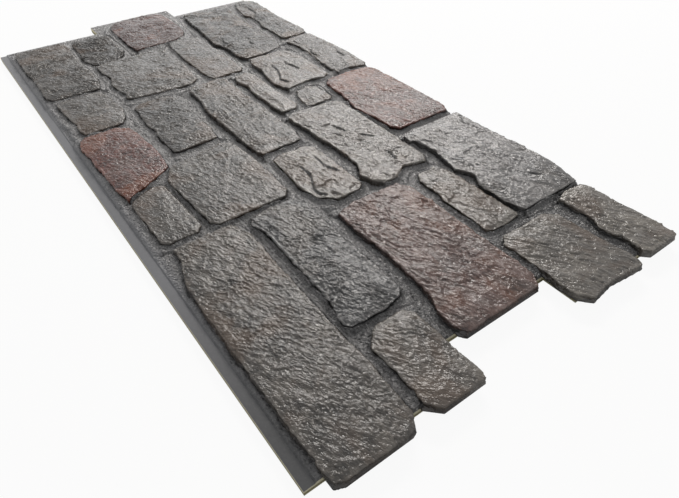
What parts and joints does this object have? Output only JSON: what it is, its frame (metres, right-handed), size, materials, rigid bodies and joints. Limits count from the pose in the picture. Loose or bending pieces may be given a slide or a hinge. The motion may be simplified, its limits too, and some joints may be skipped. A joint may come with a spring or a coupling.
{
  "type": "faux stone wall panel",
  "caption": "Interlocking moulded wall panel with a raised field of squared rubble stones, a screw flange along the top and a tab and recess that join it to the next panel.",
  "frame": {"origin": "middle of the sheet's flat back, halfway along the coverage length and height", "axes": "+X along the courses towards the tab end, +Y up the wall towards the screw flange, +Z out of the wall; the panel is stored lying on its back"},
  "size_m": [1.2904, 0.6257, 0.0281],
  "materials": {
    "painted_polyurethane": "painted stone colours with a soft sheen, cream where trimmed"
  },
  "bodies": {
    "root": {"panel": "painted_polyurethane"}
  },
  "joints": []
}
